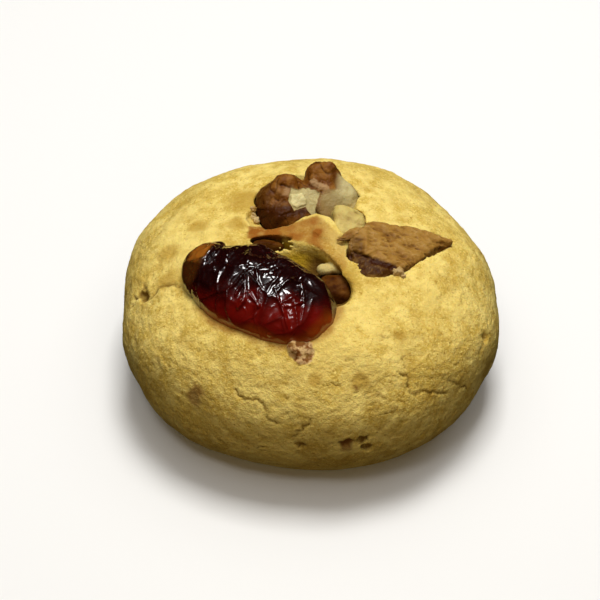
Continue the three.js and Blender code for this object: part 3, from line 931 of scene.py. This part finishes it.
# Regions of a kernel with colours of their own or painted shade and highlight, and the shine of a dry kernel
# and of one in damp dough.
NUT_REGIONS = ["dry", "shade", "blush", "waxy", "flesh", "kernel"]
DRY_SHINE = 0.1
DAMP_SHINE = 0.02


def nut_finish(piece, material, slot, nodes, groove, **regions):
    """Gives a kernel its colours, darker in creases and hollows partly as painted shade; regions that are not
    named are left out.
    """
    dip = hollowness(piece, 10) / MM
    empty = np.zeros(len(groove))
    fields = {name: regions.get(name, empty) for name in NUT_REGIONS}
    note(piece, crevice=0.7 * groove + 0.7 * step(dip, 0.015, 0.1), **fields)
    finished(piece, material, slot, *nodes)


def turned_away(normals):
    """Painted shade that grows toward the rims of a kernel, where it turns away from the front and top."""
    return 0.7 * (1 - step(normals @ bearing(-90, 45), 0.0, 0.45))


def build_lobed(settings, material):
    piece = copy_of("walnut_lobed", "Lobed_walnut", settings.voxel, NUT_SMOOTHING)
    for _ in range(CORNER_PASSES):
        soften(piece, away_from(read(piece), LOBED_CORNER) < CORNER_REACH, CORNER_ROUNDS)
    points = read(piece)
    normals = read(piece, "normal")
    wander = bent(bent(points, 0.9, 0.2, 61), 0.35, 0.08, 67)
    broken = fenced(wander, normals, LOBED_BREAK)
    facet = fenced(wander, normals, LOBED_FACET)
    side = fenced(wander, normals, LOBED_SIDE, edge=0.45) * (1 - broken)
    skin = 1 - np.maximum(broken, side)
    knobs = sum(height * line(points, [place], radius) for place, radius, height in LOBED_KNOBS)
    drawn = np.max([line(wander, route, 0.14) for route in LOBED_CREASES], axis=0)
    veins = np.maximum(0.8 * creases(bent(points, 1.6, 0.6, 64), 1.3, 68, 0.07),
                       0.4 * creases(bent(points, 0.8, 0.3, 66), 0.7, 64, 0.09))
    groove = np.maximum(drawn, veins) * skin
    lumps = ridges(bent(points, 1.4, 0.4, 62), 1.7, 71) - 0.5
    rough = noise(points, 0.5, 69) + 0.6 * noise(points, 0.25, 70)
    saddle = line(points, LOBED_SADDLE, 0.25)
    seated = 1 - step(points[:, 2], *LOBED_CROWN)
    push(piece, settings.swell * seated + settings.knob_depth * lumps * skin - settings.crease_depth * groove
         - settings.peel * broken + MM * (knobs * skin + 0.14 * facet + 0.1 * saddle + 0.04 * rough))

    local = points / MM - AXIS
    height = local[:, 1] + local[:, 2]
    curl = fenced(wander, normals, LOBED_CURL, edge=0.3)
    bulge = fenced(wander, normals, LOBED_BULGE, edge=0.3)
    torn = patch(points, LOBED_SADDLE, 0.32, 63, tear=0.6)
    # Painted shade on the belly below the torn edge and where the piece turns away, less on the bulge; the
    # left end is darker too.
    belly = 1 - step(height + 0.5 * noise(points, 1.2, 66), 21.2, 22.6)
    left = 1 - step(local[:, 0] + 0.3 * noise(points, 1.0, 67), -4.0, -3.2)
    # Painted light: the grey side and its flesh grow paler toward the top right.
    lit = np.clip(0.3 * (local[:, 0] - 2.5) + 0.25 * (height - 22.0), -1, 1)
    cloudy = 0.25 * noise(points, 1.1, 65)
    nut_finish(
        piece, material, "walnut", ["walnut_lobed"], groove,
        flesh=broken * (0.45 + 0.55 * facet + cloudy) + side * (0.12 + 0.35 * lit + cloudy),
        waxy=np.maximum(side * (0.8 + 0.3 * lit), broken),
        blush=np.maximum(0.8 * torn * (1 - side), 0.5 * curl * (0.7 + noise(points, 0.5, 60))),
        shade=np.maximum.reduce([0.9 * belly * (1 - 0.6 * bulge), 0.6 * left, turned_away(normals)]) * skin)


def shaped_wedge(settings):
    """The wedge with its lower facet drawn out and its tip narrowed."""
    piece = copy_of("walnut_wedge", "Wedge_walnut", settings.voxel, WEDGE_SMOOTHING)
    points = read(piece)
    x, y, z = (points / MM - AXIS).T
    facet = step(-y, 2.0, 2.9) * step(-z, -17.75, -17.2) * (1 - step(x, 6.0, 9.0))
    points[:, 1] -= FACET_REACH * MM * facet * step(x, 3.7, 4.3)
    points[:, 1] += TIP_NARROWING * MM * (TIP_Y - y) * step(x, 10.5, 14.0)
    move(piece, points)
    soften(piece, facet > 0, FACET_ROUNDS)
    return piece


def pinched_splinter(points):
    """The points of the wedge, with the splinter thinned toward its tip."""
    tip, root = spot(*SPLINTER_TIP), spot(*SPLINTER_ROOT)
    along = np.clip((points - tip) @ (root - tip) / ((root - tip) @ (root - tip)), 0, 1)
    middle = tip + along[:, None] * (root - tip)
    near = np.linalg.norm(points - middle, axis=1) < SPLINTER_REACH * MM
    thin = (along < SPLINTER_FREE) * near * (0.85 - 1.35 * along)
    return points + thin[:, None] * (middle - points)


def build_wedge(settings, material):
    piece = shaped_wedge(settings)
    points = read(piece)
    normals = read(piece, "normal")
    local = points / MM - AXIS
    heading = bearing(WEDGE_HEADING, 0)
    stretched = points - 0.6 * np.outer(points @ heading, heading)
    streaks = ridges(bent(stretched, 0.9, 0.35, 72), 0.8, 75) - 0.5
    fine = ridges(bent(stretched, 0.5, 0.12, 78), 0.28, 76) - 0.5
    drawn = np.max([line(bent(points, 0.8, 0.12, 77), route, 0.09) for route in WEDGE_STREAKS], axis=0)
    crease = np.maximum(line(points, WEDGE_CREASE, 0.15), 0.15 * drawn)
    ridge = line(points, WEDGE_RIDGE, 0.3)
    upward = step(normals[:, 2], 0.3, 0.7)
    left = np.clip((WEDGE_RIDGE_X - local[:, 0]) / 1.6, 0, 1) * step(-local[:, 1], 0.9, 1.5) * upward
    relief = 0.1 * streaks + 0.07 * fine - 0.25 * crease + 0.14 * ridge - 0.4 * left
    push(piece, settings.swell + MM * relief)

    points = read(piece)
    move(piece, pinched_splinter(points))
    # Painted shade on steep sides, the lower facet, left of the ridge and in the grooves of the streaks; fine
    # ridges on the lower facet are paler.
    steep = 0.5 * (1 - step(normals[:, 2], 0.25, 0.6))
    lower = fenced(bent(points, 1.0, 0.2, 79), normals, WEDGE_LOWER, edge=0.3)
    shade = np.maximum.reduce([0.5 * step(left, 0.02, 0.3), 0.9 * lower, steep])
    shade = shade + (0.2 + 0.3 * lower) * step(-streaks - 0.5 * fine, 0.2, 0.9)
    shade = shade - 0.25 * lower * step(fine, 0.2, 0.5)
    nut_finish(
        piece, material, "walnut", ["walnut_wedge"], crease, shade=shade,
        # Tan and blush grow lighter on the ridges, partly grain and partly a painted highlight.
        dry=0.8 + 0.25 * streaks + 0.3 * fine,
        blush=0.35 * step(fine + 0.6 * streaks, 0.3, 0.75) * (1 - lower))


def build_small_nuts(settings, material, damp_material):
    """The sliver of skin, the sunk kernel and the pale kernel."""
    for node, name, slot, seed, shade, growth in SMALL_NUTS:
        piece = copy_of(node, name, settings.voxel, NUT_SMOOTHING)
        points = read(piece)
        groove = 0.4 * creases(bent(points, 1.6, 0.5, seed), 1.8, seed + 3, 0.1)
        grain = points * SLIVER_GRAIN if node == "walnut_sliver" else points
        rough = noise(grain, 0.6, seed) + 0.6 * noise(grain, 0.3, seed + 1)
        push(piece, growth * settings.swell - 0.6 * settings.crease_depth * groove + 0.06 * MM * rough)
        pale = node == "kernel_pale"
        speck = patch(points, PALE_SPECK, 0.25, 89) if pale else 0
        nut_finish(
            piece, material if pale else damp_material, slot, [node], groove * (not pale),
            shade=shade + 0.3 * rough * (not pale), kernel=(1 - speck) * (0.85 + 0.3 * rough) * pale)


def build_crumbs(material):
    """Small crumbs of nut beside the walnut pieces, joined into one piece."""
    crumbs = []
    for index, (place, radius) in enumerate(CRUMBS):
        bpy.ops.object.select_all(action="DESELECT")
        bpy.ops.mesh.primitive_ico_sphere_add(subdivisions=4, radius=1)
        crumb = bpy.context.object
        sphere = read(crumb)
        shape = 1 + 0.35 * noise(sphere * MM, 0.9, index) + 0.2 * noise(sphere * MM, 0.45, 40 + index)
        move(crumb, sphere * (shape * radius * MM)[:, None] + spot(*place))
        crumbs.append(crumb)
    for crumb in crumbs:
        crumb.select_set(True)
    bpy.context.view_layer.objects.active = crumbs[0]
    bpy.ops.object.join()
    piece = bpy.context.object
    piece.name = "Nut_crumbs"
    points = read(piece)
    tone = 0.5 + 0.5 * noise(points, 0.5, 41)
    nut_finish(piece, material, "walnut", [], 0 * tone, dry=1 + 0 * tone, blush=tone, flesh=0.45 * tone)


class COOKIE_OT_walnuts(bpy.types.Operator):
    """Build the walnut kernels with creased skin and broken flesh"""
    bl_idname = "cookie.walnuts"
    bl_label = "Walnuts"

    def execute(self, context):
        settings = context.scene.cookie_nut
        material = nut_material(settings, "Walnut kernel", DRY_SHINE)
        damp_material = nut_material(settings, "Damp walnut kernel", DAMP_SHINE)
        build_lobed(settings, material)
        build_wedge(settings, material)
        build_small_nuts(settings, material, damp_material)
        build_crumbs(material)
        return {"FINISHED"}


# Stage

CAMERA_TARGET = (0.0, 0.0, 8.0)
CAMERA_ELEVATION = 45
CAMERA_DISTANCE = 190
CAMERA_LENS = 112.24
CAMERA_SHIFT = (-0.0142, 0.0093)

# Area lights: name, place and width in millimetres, power in watts, colour, and whether skins mirror it.
LIGHTS = [
    ("Overhead_light", (18, 78, 340), 120, 0.86, "ffffff", True),
    ("Strip_light", (-50, -130, 320), 60, 0.1, "ffffff", True),
    ("Soft_light", (15, 45, 330), 500, 0.61, "ffffff", False),
    ("Front_light", (0, -380, 170), 500, 0.36, "ffdfa8", False),
]


def build_stage(settings):
    bpy.ops.mesh.primitive_plane_add(size=3)
    floor = bpy.context.object
    floor.name = "Floor"
    material, tree = blank_material("Pale floor")
    close_material(tree, {"Base Color": (*settings.floor, 1), "Roughness": 0.9}, {})
    floor.data.materials.append(material)
    floor.visible_diffuse = False
    floor.visible_glossy = False

    target = Vector(spot(*CAMERA_TARGET))
    back = Vector(bearing(-90, CAMERA_ELEVATION))
    place = target + back * CAMERA_DISTANCE * MM
    bpy.ops.object.camera_add(location=place, rotation=back.to_track_quat("Z", "Y").to_euler())
    camera = bpy.context.object
    camera.data.lens = CAMERA_LENS
    camera.data.shift_x, camera.data.shift_y = CAMERA_SHIFT
    camera.data.clip_start = 0.01
    bpy.context.scene.camera = camera

    for name, place, size, power, tint, mirrored in LIGHTS:
        place = Vector(place) * MM
        aim = (place - target).to_track_quat("Z", "Y").to_euler()
        bpy.ops.object.light_add(type="AREA", location=place, rotation=aim)
        light = bpy.context.object
        light.name = name
        light.data.energy = power
        light.data.color = linear(tint)
        light.data.size = size * MM
        light.visible_glossy = mirrored

    world = bpy.data.worlds.new("Studio")
    world.use_nodes = True
    background = world.node_tree.nodes["Background"]
    background.inputs["Color"].default_value = (1, 1, 1, 1)
    background.inputs["Strength"].default_value = settings.fill
    world.cycles_visibility.glossy = False
    bpy.context.scene.world = world
    bpy.context.scene.view_settings.view_transform = "Standard"


class COOKIE_OT_stage(bpy.types.Operator):
    """Set the floor, the lights and the camera"""
    bl_idname = "cookie.stage"
    bl_label = "Stage"

    def execute(self, context):
        build_stage(context.scene.cookie_stage)
        return {"FINISHED"}


# Panel and main

class COOKIE_PT_panel(bpy.types.Panel):
    """Buttons and settings in the sidebar of the 3D view"""
    bl_label = "Cranberry cookie"
    bl_idname = "COOKIE_PT_panel"
    bl_space_type = "VIEW_3D"
    bl_region_type = "UI"
    bl_category = "Cookie"

    def draw(self, context):
        for operator, name in STEPS:
            self.layout.operator(operator)
            for key in getattr(context.scene, name).__annotations__:
                self.layout.prop(getattr(context.scene, name), key)


SETTINGS = {
    "cookie_dough": DoughSettings,
    "cookie_fruit": FruitSettings,
    "cookie_nut": NutSettings,
    "cookie_stage": StageSettings,
}
STEPS = [
    ("cookie.dough", "cookie_dough"),
    ("cookie.cranberry", "cookie_fruit"),
    ("cookie.walnuts", "cookie_nut"),
    ("cookie.stage", "cookie_stage"),
]
CLASSES = [*SETTINGS.values(), COOKIE_OT_dough, COOKIE_OT_cranberry, COOKIE_OT_walnuts, COOKIE_OT_stage,
           COOKIE_PT_panel]


def register():
    for each in CLASSES:
        bpy.utils.register_class(each)
    for name, group in SETTINGS.items():
        setattr(bpy.types.Scene, name, bpy.props.PointerProperty(type=group))


def unregister():
    for name in SETTINGS:
        delattr(bpy.types.Scene, name)
    for each in reversed(CLASSES):
        bpy.utils.unregister_class(each)


def main():
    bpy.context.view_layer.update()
    register()
    bpy.ops.cookie.dough()
    bpy.ops.cookie.cranberry()
    bpy.ops.cookie.walnuts()
    bpy.ops.cookie.stage()


if __name__ == "__main__":
    main()
